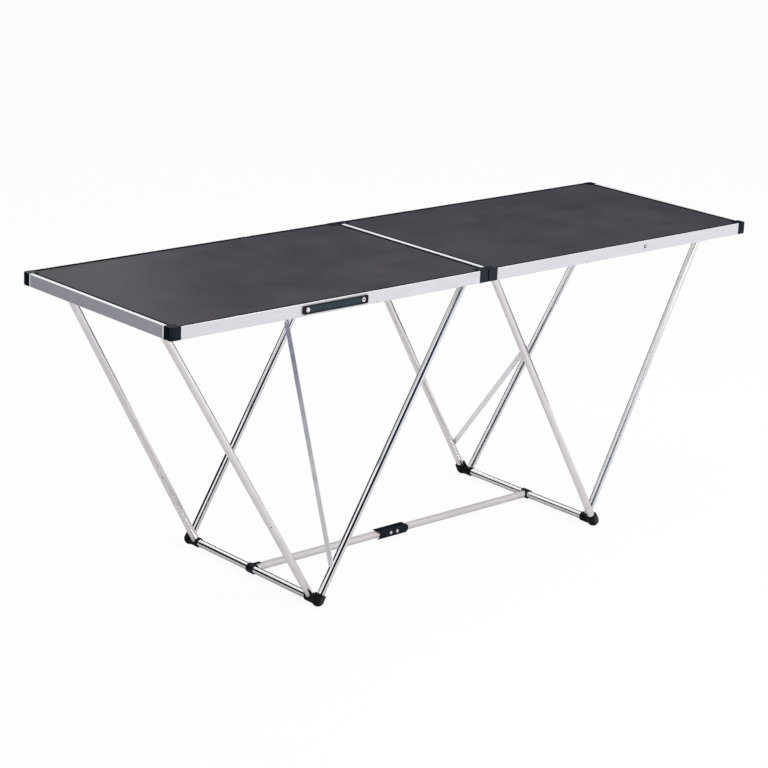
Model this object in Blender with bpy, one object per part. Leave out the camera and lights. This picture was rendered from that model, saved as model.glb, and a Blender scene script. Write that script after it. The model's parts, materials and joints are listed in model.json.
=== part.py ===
"""Folding pasting table: two framed panels hinged in the middle, each on a V of tube legs that meet in a base
rail on the floor, with one folding spreader between the two base rails. Metres, Z up, floor at Z = 0, the hinge
line at X = 0 and the front at -Y."""

import math

import bmesh
import bpy
from mathutils import Matrix, Vector

for old in list(bpy.data.objects):
    bpy.data.objects.remove(old, do_unlink=True)

# Overall size
LENGTH = 2.000
WIDTH = 0.600
HEIGHT = 0.809
CLEAR = 0.0003
WELD = 0.000004

# Panels: a thin board inside rails of C section, with a block in every corner. The end rails and the right
# hinge rail lap over the board with a lip, and the others carry it on a ledge
PANEL_GAP = 0.001
RAIL_HEIGHT = 0.032
RAIL_WALL = 0.0016
RAIL_FLANGE = 0.008
LIP_WIDTH = 0.010
LIP_THICK = 0.0014
BOARD_THICK = 0.004
END_BLOCK_X = 0.029
HINGE_BLOCK_X = 0.030
BLOCK_Y = 0.027
END_BLOCK_ROUND = 0.006
HINGE_BLOCK_ROUND = 0.002

# Centre hinges under the rails
HINGE_DROP = 0.004
HINGE_Y = 0.2 * WIDTH
HINGE_WIDTH = 0.060
LEAF_LENGTH = 0.026
LEAF_THICK = 0.0015
BARREL_R = 0.0032
PIN_R = 0.0017

# Tubes and where their axes run, for the left half
TUBE_R = 0.010
BASE_X = LENGTH / 4 - PANEL_GAP
BASE_Z = 0.0155
OUTER_PIVOT_X = 0.044
OUTER_PIVOT_DROP = 0.020
OUTER_LEG_INSET = 0.036
OUTER_LEG_Y = WIDTH / 2 - OUTER_LEG_INSET
INNER_TOP_INSET_X = 0.051
INNER_TOP_INSET_Y = 0.113
INNER_TOP_X = LENGTH / 2 - INNER_TOP_INSET_X
INNER_TOP_DROP = 0.030
INNER_TOP_Y = WIDTH / 2 - INNER_TOP_INSET_Y
INNER_BASE_INSET = 0.0275
INNER_BASE_Y = OUTER_LEG_Y - INNER_BASE_INSET

# Feet, knuckles and clips that hold the tubes
FOOT_R = 0.0160
FOOT_CUP = 0.017
FOOT_CUP_R = 0.0155
FOOT_Y = OUTER_LEG_Y + 0.001
FOOT_INNER_Y = OUTER_LEG_Y - FOOT_CUP_R + 0.002
LEG_SEAT = 0.001
COLLAR_R = 0.013
COLLAR_HALF = 0.0135
RAIL_PLAY = 0.0004
SPIGOT_R = 0.008
SPIGOT_LENGTH = 0.034
CLIP_HALF = 0.011
CLIP_TAB_LENGTH = 0.026
CLIP_TAB_WIDTH = 0.009
CLIP_TAB_THICK = 0.0018

# Pivot brackets and the stops over the inner legs
BRACKET_X = 0.0458
BRACKET_LENGTH = 0.0285
TRUNNION_R = 0.0045
STOP_SIZE = 0.026
STOP_LIP = 0.006
STOP_LIP_THICK = 0.004

# Braces across the outer legs
BRACE_WIDTH = 0.014
BRACE_THICK = 0.002
BRACE_LOW_Z = 0.12 * HEIGHT
BRACE_HIGH_Z = 0.69 * HEIGHT
BRACE_OVERHANG = 0.001

# Spreader between the base rails
FOLD_LEFT_X = -0.029
FOLD_RIGHT_X = -0.006
SLEEVE_LEFT_X = -0.076
SLEEVE_RIGHT_X = 0.035
SLEEVE_WALL = 0.0016
SLEEVE_SKIRT = 0.0115
SLEEVE_ROUND = 0.010
SLEEVE_MOUTH = 0.010
RIVET_R = 0.0025
RIVET_HEAD_R = 0.0045
RIVET_HEAD = 0.0015

# Carrying handle on the left front rail
HANDLE_X = -0.2555 * LENGTH
HANDLE_LENGTH = 0.204
HANDLE_HEIGHT = 0.021
HANDLE_THICK = 0.004
HANDLE_ROUND = 0.004
HANDLE_RIM = 0.0028
HANDLE_DISH = 0.0012
HANDLE_RIVETS = HANDLE_LENGTH - 0.029
HANDLE_RIVET_R = 0.002

ROUND = 24

RAIL_BOTTOM = HEIGHT - RAIL_HEIGHT
BOARD_TOP = HEIGHT - LIP_THICK - CLEAR
BOARD_UNDER = BOARD_TOP - BOARD_THICK
PIVOT_Z = HEIGHT - OUTER_PIVOT_DROP
INNER_TOP_Z = HEIGHT - INNER_TOP_DROP
HINGE_Z = RAIL_BOTTOM - HINGE_DROP


def axis(name, parent, place):
    """An empty on a joint axis, at a place given in the world."""
    empty = bpy.data.objects.new(name, None)
    bpy.context.collection.objects.link(empty)
    empty["place"] = place
    empty.parent = parent
    start = Vector(parent["place"]) if parent else Vector()
    empty.location = Vector(place) - start
    return empty


def finish(name, bm, pivot, colour, roughness, metallic):
    """Makes the object, with its origin on the pivot, and gives it its own material."""
    bmesh.ops.recalc_face_normals(bm, faces=bm.faces)
    bmesh.ops.translate(bm, verts=bm.verts, vec=-Vector(pivot["place"]))
    mesh = bpy.data.meshes.new(name)
    bm.to_mesh(mesh)
    bm.free()
    obj = bpy.data.objects.new(name, mesh)
    bpy.context.collection.objects.link(obj)
    obj.parent = pivot
    material = bpy.data.materials.new(name)
    material.use_nodes = True
    shader = material.node_tree.nodes["Principled BSDF"]
    shader.inputs["Base Color"].default_value = (*colour, 1)
    shader.inputs["Roughness"].default_value = roughness
    shader.inputs["Metallic"].default_value = metallic
    mesh.materials.append(material)
    return obj


def cylinder(start, end, radius, segments=ROUND):
    """A round bar from start to end."""
    start = Vector(start)
    along = Vector(end) - start
    bm = bmesh.new()
    turn = along.to_track_quat("Z", "Y").to_matrix().to_4x4()
    matrix = Matrix.Translation(start + along / 2) @ turn
    bmesh.ops.create_cone(
        bm, cap_ends=True, segments=segments, radius1=radius, radius2=radius, depth=along.length, matrix=matrix
    )
    return bm


def bullet(start, end, radius, start_radius, rings=4):
    """A round bar from start to end with a half ball on its end, in one skin."""
    start = Vector(start)
    along = Vector(end) - start
    turn = along.to_track_quat("Z", "Y").to_matrix()
    profile = [(0, start_radius)]
    for i in range(rings):
        angle = math.pi / 2 * i / rings
        profile.append((along.length + radius * math.sin(angle), radius * math.cos(angle)))
    bm = bmesh.new()
    loops = []
    for up, out in profile:
        loop = []
        for j in range(ROUND):
            angle = 2 * math.pi * j / ROUND
            loop.append(bm.verts.new(start + turn @ Vector((out * math.cos(angle), out * math.sin(angle), up))))
        loops.append(loop)
    pole = bm.verts.new(start + turn @ Vector((0, 0, along.length + radius)))
    bm.faces.new(list(reversed(loops[0])))
    for j in range(ROUND):
        k = (j + 1) % ROUND
        for low, high in zip(loops, loops[1:]):
            bm.faces.new((low[j], low[k], high[k], high[j]))
        bm.faces.new((loops[-1][j], loops[-1][k], pole))
    return bm


def block(low, high):
    """A box between two corners, in either order."""
    low, high = Vector(low), Vector(high)
    size = [abs(b - a) for a, b in zip(low, high)]
    bm = bmesh.new()
    matrix = Matrix.Translation((low + high) / 2) @ Matrix.Diagonal((*size, 1))
    bmesh.ops.create_cube(bm, size=1, matrix=matrix)
    return bm


def prism(outline, vector):
    """An outline of points in space, pushed along a vector."""
    bm = bmesh.new()
    near = [bm.verts.new(p) for p in outline]
    far = [bm.verts.new(Vector(p) + Vector(vector)) for p in outline]
    bm.faces.new(near)
    bm.faces.new(list(reversed(far)))
    for i in range(len(near)):
        j = (i + 1) % len(near)
        bm.faces.new((near[j], near[i], far[i], far[j]))
    bmesh.ops.recalc_face_normals(bm, faces=bm.faces)
    return bm


def combine(bm, other, operation):
    """The Boolean of two solids, as a new one."""
    pair = []
    for part in (bm, other):
        mesh = bpy.data.meshes.new("helper")
        part.to_mesh(mesh)
        part.free()
        helper = bpy.data.objects.new("helper", mesh)
        bpy.context.collection.objects.link(helper)
        pair.append(helper)
    change = pair[0].modifiers.new("change", "BOOLEAN")
    change.operation = operation
    change.solver = "EXACT"
    change.object = pair[1]
    graph = bpy.context.evaluated_depsgraph_get()
    result = bmesh.new()
    result.from_mesh(pair[0].evaluated_get(graph).to_mesh())
    bmesh.ops.dissolve_degenerate(result, dist=WELD, edges=result.edges)
    for helper in pair:
        bpy.data.objects.remove(helper, do_unlink=True)
    return result


def union(bm, *others):
    for other in others:
        bm = combine(bm, other, "UNION")
    return bm


def cut(bm, *others):
    for other in others:
        bm = combine(bm, other, "DIFFERENCE")
    return bm


def stadium(centre, along, across, length, width, points=8):
    """A rounded bar outline in the plane of along and across."""
    centre, along, across = Vector(centre), Vector(along), Vector(across)
    half = length / 2 - width / 2
    outline = []
    for i in range(2 * points):
        end = half if i < points else -half
        angle = math.pi * ((i % points) / (points - 1) - 0.5) + (0 if i < points else math.pi)
        outline.append(
            centre + along * (end + width / 2 * math.cos(angle)) + across * (width / 2 * math.sin(angle))
        )
    return outline


def rounded(centre, along, across, length, width, radius, points=5):
    """A rectangle with rounded corners, in the plane of along and across."""
    centre, along, across = Vector(centre), Vector(along), Vector(across)
    outline = []
    for i, (a, b) in enumerate(((1, 1), (-1, 1), (-1, -1), (1, -1))):
        for j in range(points):
            angle = math.pi / 2 * (i + j / (points - 1))
            u = a * (length / 2 - radius) + radius * math.cos(angle)
            v = b * (width / 2 - radius) + radius * math.sin(angle)
            outline.append(centre + along * u + across * v)
    return outline


ALLOY = (0.70, 0.70, 0.73)
BLACK = (0.016, 0.018, 0.024)
BOARD = (0.072, 0.070, 0.083)
CHROME = (0.78, 0.78, 0.80)
STEEL = (0.60, 0.60, 0.60)
SLATE = (0.022, 0.038, 0.045)

left_panel = axis("left_panel", None, (0, 0, 0))
right_panel = axis("right_panel", left_panel, (0, 0, HINGE_Z))
PANELS = (("left", -1, left_panel), ("right", 1, right_panel))
SIDES = (("front", -1), ("back", 1))


def rail_section(lipped):
    """The C section of a rail, as (inward, height) pairs from its outer face."""
    edge = RAIL_WALL * 0.4
    ledge = BOARD_UNDER - CLEAR
    section = [
        (edge, RAIL_BOTTOM),
        (RAIL_FLANGE, RAIL_BOTTOM),
        (RAIL_FLANGE, RAIL_BOTTOM + RAIL_WALL),
        (RAIL_WALL, RAIL_BOTTOM + RAIL_WALL),
    ]
    if lipped:
        section += [(RAIL_WALL, HEIGHT - LIP_THICK), (LIP_WIDTH, HEIGHT - LIP_THICK), (LIP_WIDTH, HEIGHT)]
    else:
        section += [(RAIL_WALL, ledge - RAIL_WALL), (RAIL_FLANGE, ledge - RAIL_WALL)]
        section += [(RAIL_FLANGE, ledge), (RAIL_WALL, ledge), (RAIL_WALL, HEIGHT)]
    return section + [(edge, HEIGHT), (0, HEIGHT - edge), (0, RAIL_BOTTOM + edge)]


def corner_block(side, x_outer, x_size, y_sign, radius):
    """A full height block with its outer upright edge rounded off."""
    x_in = x_outer - side * x_size
    y_out = y_sign * WIDTH / 2
    y_in = y_sign * (WIDTH / 2 - BLOCK_Y)
    x_dir = math.copysign(1, x_outer - x_in)
    outline = [(x_in, y_in, RAIL_BOTTOM), (x_outer, y_in, RAIL_BOTTOM)]
    for i in range(6):
        angle = math.pi / 2 * i / 5
        x = x_outer - x_dir * radius * (1 - math.cos(angle))
        y = y_out - y_sign * radius * (1 - math.sin(angle))
        outline.append((x, y, RAIL_BOTTOM))
    outline.append((x_in, y_out, RAIL_BOTTOM))
    return prism(outline, (0, 0, RAIL_HEIGHT))


# Panels: board, four rails and four corner blocks each
for name, side, pivot in PANELS:
    x_hinge = side * PANEL_GAP / 2
    x_end = side * LENGTH / 2
    x_a = x_hinge + side * (RAIL_WALL + CLEAR)
    x_b = x_hinge + side * (HINGE_BLOCK_X + CLEAR)
    x_c = x_end - side * (END_BLOCK_X + CLEAR)
    x_d = x_end - side * (RAIL_WALL + CLEAR)
    y_a = WIDTH / 2 - RAIL_WALL - CLEAR
    y_b = WIDTH / 2 - BLOCK_Y - CLEAR
    outline = [(x_a, -y_b), (x_b, -y_b), (x_b, -y_a), (x_c, -y_a), (x_c, -y_b), (x_d, -y_b)]
    outline += [(x, -y) for x, y in reversed(outline)]
    bm = prism([(x, y, BOARD_UNDER) for x, y in outline], (0, 0, BOARD_THICK))
    finish(f"{name}_board", bm, pivot, BOARD, 0.55, 0.0)

    for where, y_sign in SIDES:
        outline = [(x_b, y_sign * (WIDTH / 2 - u), z) for u, z in rail_section(False)]
        bm = prism(outline, (x_c - x_b, 0, 0))
        if (name, where) == ("left", "front"):
            for shift in (-HANDLE_RIVETS / 2, HANDLE_RIVETS / 2):
                x = HANDLE_X + shift
                z = RAIL_BOTTOM + RAIL_HEIGHT / 2
                start = (x, -WIDTH / 2 - 0.01, z)
                end = (x, -WIDTH / 2 + 0.01, z)
                bm = cut(bm, cylinder(start, end, HANDLE_RIVET_R + CLEAR, 16))
        finish(f"{name}_{where}_rail", bm, pivot, ALLOY, 0.35, 0.8)

    for where, x_out, inward in (("end", x_end, -side), ("hinge", x_hinge, side)):
        lipped = (name, where) != ("left", "hinge")
        outline = [(x_out + inward * u, -y_b, z) for u, z in rail_section(lipped)]
        bm = prism(outline, (0, 2 * y_b, 0))
        finish(f"{name}_{where}_rail", bm, pivot, ALLOY, 0.35, 0.8)

    for where, y_sign in SIDES:
        bm = corner_block(side, x_end, END_BLOCK_X, y_sign, END_BLOCK_ROUND)
        finish(f"{name}_{where}_end_block", bm, pivot, BLACK, 0.5, 0.0)
        bm = corner_block(-side, x_hinge, HINGE_BLOCK_X, y_sign, HINGE_BLOCK_ROUND)
        finish(f"{name}_{where}_hinge_block", bm, pivot, BLACK, 0.5, 0.0)

# Centre hinges: the left leaf carries the pin and the middle barrel, the right leaf the two outer barrels
for where, y_sign in SIDES:
    y = y_sign * HINGE_Y
    third = HINGE_WIDTH / 6
    leaf_top = RAIL_BOTTOM - CLEAR
    relief = BARREL_R + 0.001

    left_edge = [(-LEAF_LENGTH, -3), (-relief, -3), (-relief, -1), (0, -1)]
    left_edge += [(x, -n) for x, n in reversed(left_edge)]
    outline = [(x, y + n * third, leaf_top - LEAF_THICK) for x, n in left_edge]
    leaf = prism(outline, (0, 0, LEAF_THICK))
    ends = y - third + CLEAR, y + third - CLEAR
    barrel = cylinder((0, ends[0], HINGE_Z), (0, ends[1], HINGE_Z), BARREL_R, 16)
    pin = cylinder((0, y - 3 * third, HINGE_Z), (0, y + 3 * third, HINGE_Z), PIN_R, 16)
    finish(f"hinge_{where}_left_leaf", union(leaf, barrel, pin), left_panel, STEEL, 0.4, 1.0)

    notch = third + CLEAR
    right_edge = [(LEAF_LENGTH, 3 * third), (0, 3 * third), (0, notch), (relief, notch)]
    right_edge += [(x, -n) for x, n in reversed(right_edge)]
    leaf = prism([(x, y + n, leaf_top - LEAF_THICK) for x, n in right_edge], (0, 0, LEAF_THICK))
    for sign in (-1, 1):
        start = (0, y + sign * (notch + CLEAR), HINGE_Z)
        end = (0, y + sign * (3 * third - CLEAR), HINGE_Z)
        leaf = union(leaf, cylinder(start, end, BARREL_R, 16))
    start = (0, y - 4 * third, HINGE_Z)
    end = (0, y + 4 * third, HINGE_Z)
    bm = cut(leaf, cylinder(start, end, PIN_R + CLEAR, 16))
    finish(f"hinge_{where}_right_leaf", bm, right_panel, STEEL, 0.4, 1.0)

# Carrying handle: a dished bar held by two rivets through the left front rail
handle_z = RAIL_BOTTOM + RAIL_HEIGHT / 2
face = -WIDTH / 2 - CLEAR
flat = (1, 0, 0), (0, 0, 1)
outline = rounded((HANDLE_X, face, handle_z), *flat, HANDLE_LENGTH, HANDLE_HEIGHT, HANDLE_ROUND)
bm = prism(outline, (0, -HANDLE_THICK, 0))
dish_length = HANDLE_LENGTH - 2 * HANDLE_RIM
dish_height = HANDLE_HEIGHT - 2 * HANDLE_RIM
dish_face = face - HANDLE_THICK + HANDLE_DISH
outline = rounded((HANDLE_X, dish_face, handle_z), *flat, dish_length, dish_height, HANDLE_ROUND - HANDLE_RIM / 2)
bm = cut(bm, prism(outline, (0, -HANDLE_THICK, 0)))
for shift in (-HANDLE_RIVETS / 2, HANDLE_RIVETS / 2):
    x = HANDLE_X + shift
    start = (x, face - 0.02, handle_z)
    end = (x, face + 0.02, handle_z)
    bm = cut(bm, cylinder(start, end, HANDLE_RIVET_R + CLEAR, 16))
finish("carry_handle", bm, left_panel, SLATE, 0.5, 0.0)

for where, shift in (("left", -HANDLE_RIVETS / 2), ("right", HANDLE_RIVETS / 2)):
    x = HANDLE_X + shift
    head_face = dish_face - CLEAR
    shank_start = (x, head_face - RIVET_HEAD / 2, handle_z)
    shank = cylinder(shank_start, (x, -WIDTH / 2 + 0.004, handle_z), HANDLE_RIVET_R, 16)
    head = cylinder((x, head_face, handle_z), (x, head_face - RIVET_HEAD, handle_z), RIVET_HEAD_R, 16)
    finish(f"handle_rivet_{where}", union(head, shank), left_panel, STEEL, 0.3, 1.0)

# Leg units: the right one is the left one turned half round about the upright axis
for name, turn, panel in (("left", 1, left_panel), ("right", -1, right_panel)):

    def place(x, y, z, turn=turn):
        return Vector((turn * x, turn * y, z))

    frame = axis(f"{name}_frame", panel, place(-OUTER_PIVOT_X, 0, PIVOT_Z))
    inner = axis(f"{name}_inner", frame, place(-BASE_X, 0, BASE_Z))
    rise = Vector((BASE_X - OUTER_PIVOT_X, 0, PIVOT_Z - BASE_Z))
    leg_length = rise.length
    rise.normalize()

    for y_sign in (-1, 1):
        where = "front" if y_sign * turn < 0 else "back"
        leg_y = y_sign * OUTER_LEG_Y

        def on_leg(s, y=leg_y):
            return place(-BASE_X + rise.x * s, y, BASE_Z + rise.z * s)

        top = on_leg(leg_length)
        wide = Vector((0, WIDTH / 20, 0))
        bm = bullet(on_leg(LEG_SEAT + CLEAR), top, TUBE_R, TUBE_R)
        bm = cut(bm, cylinder(top - wide, top + wide, TRUNNION_R + CLEAR, 16))
        finish(f"{name}_{where}_outer_leg", bm, frame, CHROME, 0.15, 1.0)

        centre = place(-BASE_X, y_sign * FOOT_Y, BASE_Z)
        inner_face = place(-BASE_X, y_sign * FOOT_INNER_Y, BASE_Z)
        spigot_end = place(-BASE_X, y_sign * (FOOT_INNER_Y - SPIGOT_LENGTH / 2), BASE_Z)
        bm = bullet(on_leg(FOOT_CUP), on_leg(0), FOOT_R, FOOT_CUP_R, 6)
        bm = union(bm, cylinder(centre, inner_face, COLLAR_R))
        bm = cut(
            bm,
            block((-LENGTH, -FOOT_INNER_Y, -HEIGHT), (LENGTH, FOOT_INNER_Y, HEIGHT)),
            cylinder(on_leg(LEG_SEAT), on_leg(2 * FOOT_CUP), TUBE_R + CLEAR),
            block((-LENGTH, -WIDTH, -HEIGHT), (LENGTH, WIDTH, 0)),
        )
        bm = union(bm, cylinder(inner_face + (inner_face - spigot_end) * 0.1, spigot_end, SPIGOT_R))
        finish(f"{name}_{where}_foot", bm, frame, BLACK, 0.5, 0.0)

        base = place(-BASE_X, y_sign * INNER_BASE_Y, BASE_Z)
        tip = place(-INNER_TOP_X, y_sign * INNER_TOP_Y, INNER_TOP_Z)
        climb = (tip - base).normalized()
        inside_collar = base + climb * TUBE_R * 0.5
        bm = bullet(inside_collar, tip, TUBE_R, TUBE_R)
        bm = cut(
            bm,
            cylinder(base - wide, base + wide, COLLAR_R + CLEAR),
            cylinder(base, base + climb * (SPIGOT_LENGTH + CLEAR), SPIGOT_R + CLEAR),
        )
        finish(f"{name}_{where}_inner_leg", bm, inner, CHROME, 0.15, 1.0)

        half = Vector((0, COLLAR_HALF, 0))
        bm = union(
            cylinder(base - half, base + half, COLLAR_R),
            cylinder(base, base + climb * SPIGOT_LENGTH, SPIGOT_R),
        )
        bm = cut(bm, cylinder(base - wide, base + wide, TUBE_R + RAIL_PLAY))
        finish(f"{name}_{where}_knuckle", bm, inner, BLACK, 0.5, 0.0)

        y_in = OUTER_LEG_Y + TUBE_R + 0.0008
        y_out = WIDTH / 2 - RAIL_WALL - CLEAR
        x_near = BRACKET_X - BRACKET_LENGTH / 2
        x_far = BRACKET_X + BRACKET_LENGTH / 2
        bracket = block(
            place(-x_far, y_sign * y_in, RAIL_BOTTOM + RAIL_WALL + CLEAR),
            place(-x_near, y_sign * y_out, BOARD_UNDER - RAIL_WALL - 2 * CLEAR),
        )
        trunnion = cylinder(
            place(-OUTER_PIVOT_X, y_sign * (y_in + 0.004), PIVOT_Z),
            place(-OUTER_PIVOT_X, y_sign * (OUTER_LEG_Y - TUBE_R * 0.8), PIVOT_Z),
            TRUNNION_R,
            16,
        )
        finish(f"{name}_{where}_pivot_bracket", union(bracket, trunnion), panel, BLACK, 0.5, 0.0)

        under = INNER_TOP_Z + TUBE_R + CLEAR
        lip_x = INNER_TOP_X - TUBE_R - CLEAR
        plate = block(
            place(-INNER_TOP_X - STOP_SIZE / 2, y_sign * INNER_TOP_Y - STOP_SIZE / 2, under),
            place(-lip_x + STOP_LIP_THICK, y_sign * INNER_TOP_Y + STOP_SIZE / 2, BOARD_UNDER - CLEAR),
        )
        lip = block(
            place(-lip_x, y_sign * INNER_TOP_Y - STOP_SIZE / 2, under - STOP_LIP),
            place(-lip_x + STOP_LIP_THICK, y_sign * INNER_TOP_Y + STOP_SIZE / 2, under + 0.001),
        )
        finish(f"{name}_{where}_leg_stop", union(plate, lip), panel, BLACK, 0.5, 0.0)

    rail_half = FOOT_INNER_Y - CLEAR
    bore_start = rail_half - SPIGOT_LENGTH / 2 - CLEAR
    bm = cylinder(place(-BASE_X, -rail_half, BASE_Z), place(-BASE_X, rail_half, BASE_Z), TUBE_R)
    for y_sign in (-1, 1):
        start = place(-BASE_X, y_sign * bore_start, BASE_Z)
        end = place(-BASE_X, y_sign * WIDTH / 2, BASE_Z)
        bm = cut(bm, cylinder(start, end, SPIGOT_R + CLEAR))
    finish(f"{name}_base_rail", bm, frame, CHROME, 0.15, 1.0)

    low = (BRACE_LOW_Z - BASE_Z) / rise.z
    high = (BRACE_HIGH_Z - BASE_Z) / rise.z
    first = place(-BASE_X + rise.x * low, -OUTER_LEG_Y, BASE_Z + rise.z * low)
    last = place(-BASE_X + rise.x * high, OUTER_LEG_Y, BASE_Z + rise.z * high)
    normal = place(-rise.z, 0, rise.x)
    along = (last - first).normalized()
    across = normal.cross(along)
    middle = (first + last) / 2 + normal * (TUBE_R + CLEAR)
    span = (last - first).length + BRACE_WIDTH + 2 * BRACE_OVERHANG
    bm = prism(stadium(middle, along, across, span, BRACE_WIDTH), normal * BRACE_THICK)
    finish(f"{name}_brace", bm, frame, STEEL, 0.35, 1.0)

# Spreader: two tubes that fold in a channel, clipped to the base rails
left_frame = bpy.data.objects["left_frame"]
swing = axis("spreader_left", left_frame, (-BASE_X, 0, BASE_Z))
channel = axis("spreader_sleeve_axis", swing, (FOLD_LEFT_X, 0, BASE_Z))
folded = axis("spreader_right", channel, (FOLD_RIGHT_X, 0, BASE_Z))
wide = Vector((0, WIDTH / 20, 0))
left_hold = Vector((-BASE_X, 0, BASE_Z))
right_hold = Vector((BASE_X, 0, BASE_Z))
left_fold = Vector((FOLD_LEFT_X, 0, BASE_Z))
right_fold = Vector((FOLD_RIGHT_X, 0, BASE_Z))

for name, hold, fold, pivot in (
    ("left", left_hold, left_fold, swing),
    ("right", right_hold, right_fold, folded),
):
    inward = (fold - hold).normalized()
    bm = bullet(hold + inward * TUBE_R * 0.5, fold, TUBE_R, TUBE_R)
    bm = cut(
        bm,
        cylinder(fold - wide, fold + wide, RIVET_R + CLEAR, 16),
        cylinder(hold - wide, hold + wide, COLLAR_R + CLEAR),
        cylinder(hold, hold + inward * (SPIGOT_LENGTH + CLEAR), SPIGOT_R + CLEAR),
    )
    finish(f"spreader_{name}_tube", bm, pivot, CHROME, 0.3, 1.0)

inside = TUBE_R + CLEAR
outside = inside + SLEEVE_WALL
soft = SLEEVE_WALL
profile = [
    (-outside, -SLEEVE_SKIRT),
    (-inside, -SLEEVE_SKIRT),
    (-inside, inside),
    (inside, inside),
    (inside, -SLEEVE_SKIRT),
    (outside, -SLEEVE_SKIRT),
    (outside, outside - soft),
    (outside - soft, outside),
    (soft - outside, outside),
    (-outside, outside - soft),
]
outline = [(SLEEVE_LEFT_X, y, BASE_Z + z) for y, z in profile]
bm = prism(outline, (SLEEVE_RIGHT_X - SLEEVE_LEFT_X, 0, 0))
reach = 3 * TUBE_R
side_view = [(SLEEVE_LEFT_X, -reach)]
for i in range(7):
    part = i / 6
    x = SLEEVE_LEFT_X + SLEEVE_MOUTH * 4 * part * (1 - part)
    side_view.append((x, part * (outside + SLEEVE_SKIRT) - SLEEVE_SKIRT))
side_view += [(SLEEVE_LEFT_X, reach), (SLEEVE_RIGHT_X - SLEEVE_ROUND, reach)]
for sign in (1, -1):
    edge = outside if sign > 0 else -SLEEVE_SKIRT
    for i in range(5):
        angle = math.pi / 2 * (1 - i / 4 if sign > 0 else i / 4)
        x = SLEEVE_RIGHT_X - SLEEVE_ROUND * (1 - math.cos(angle))
        z = edge - sign * SLEEVE_ROUND * (1 - math.sin(angle))
        side_view.append((x, z))
side_view.append((SLEEVE_RIGHT_X - SLEEVE_ROUND, -reach))
bm = combine(bm, prism([(x, -reach, BASE_Z + z) for x, z in side_view], (0, 2 * reach, 0)), "INTERSECT")
for x in (FOLD_LEFT_X, FOLD_RIGHT_X):
    fold = Vector((x, 0, BASE_Z))
    bm = cut(bm, cylinder(fold - wide, fold + wide, RIVET_R + CLEAR, 16))
finish("spreader_sleeve", bm, channel, BLACK, 0.5, 0.0)

for where, x in (("left", FOLD_LEFT_X), ("right", FOLD_RIGHT_X)):
    fold = Vector((x, 0, BASE_Z))
    head_in = Vector((0, outside + CLEAR, 0))
    head_out = Vector((0, outside + CLEAR + RIVET_HEAD, 0))
    bm = union(
        cylinder(fold - head_in * 1.05, fold + head_in * 1.05, RIVET_R, 16),
        cylinder(fold - head_out, fold - head_in, RIVET_HEAD_R, 16),
        cylinder(fold + head_in, fold + head_out, RIVET_HEAD_R, 16),
    )
    finish(f"sleeve_rivet_{where}", bm, channel, STEEL, 0.3, 1.0)

hook = Vector((0, CLIP_HALF, 0))
away = Vector((1, 0, 1)).normalized() * COLLAR_R * 3
sideways = Vector((-1, 0, 1)).normalized() * COLLAR_R * 3
for name, hold, fold, pivot in (
    ("left", left_hold, left_fold, swing),
    ("right", right_hold, right_fold, folded),
):
    inward = (fold - hold).normalized()
    bm = cylinder(hold - hook, hold + hook, COLLAR_R)
    if name == "left":
        tab_low = hold + Vector((COLLAR_R * 0.3, -CLIP_TAB_WIDTH / 2, TUBE_R + CLEAR))
        tab_high = hold + Vector((CLIP_TAB_LENGTH, CLIP_TAB_WIDTH / 2, TUBE_R + CLEAR + CLIP_TAB_THICK))
        bm = union(bm, block(tab_low, tab_high))
    else:
        corners = (-sideways, away - sideways, away + sideways, sideways)
        bm = cut(bm, prism([hold + c - wide for c in corners], wide * 2))
    bm = union(bm, cylinder(hold + inward * TUBE_R, hold + inward * SPIGOT_LENGTH, SPIGOT_R))
    bm = cut(bm, cylinder(hold - wide, hold + wide, TUBE_R + RAIL_PLAY))
    finish(f"spreader_{name}_clip", bm, pivot, BLACK, 0.5, 0.0)
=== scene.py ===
"""Dressed pasting table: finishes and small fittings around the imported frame, on a pale studio floor."""

import json
import math

import bmesh
import bpy
from mathutils import Matrix, Vector

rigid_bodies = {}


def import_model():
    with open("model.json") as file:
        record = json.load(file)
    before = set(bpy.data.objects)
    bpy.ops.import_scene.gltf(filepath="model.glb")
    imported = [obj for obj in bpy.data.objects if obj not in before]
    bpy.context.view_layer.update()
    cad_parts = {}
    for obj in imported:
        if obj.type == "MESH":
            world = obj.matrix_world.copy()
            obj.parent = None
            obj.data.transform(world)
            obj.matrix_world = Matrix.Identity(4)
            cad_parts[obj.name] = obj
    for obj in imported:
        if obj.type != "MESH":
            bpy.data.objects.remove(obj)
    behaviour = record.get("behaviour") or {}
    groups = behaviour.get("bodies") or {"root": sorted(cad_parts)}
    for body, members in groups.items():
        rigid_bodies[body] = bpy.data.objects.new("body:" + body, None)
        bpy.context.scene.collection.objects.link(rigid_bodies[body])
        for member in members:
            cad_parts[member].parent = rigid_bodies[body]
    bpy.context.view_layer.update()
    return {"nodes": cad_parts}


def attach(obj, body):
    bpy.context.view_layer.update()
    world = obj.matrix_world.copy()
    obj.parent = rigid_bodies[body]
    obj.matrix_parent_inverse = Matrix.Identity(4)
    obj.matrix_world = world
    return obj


for old in list(bpy.data.objects):
    bpy.data.objects.remove(old, do_unlink=True)
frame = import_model()

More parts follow.
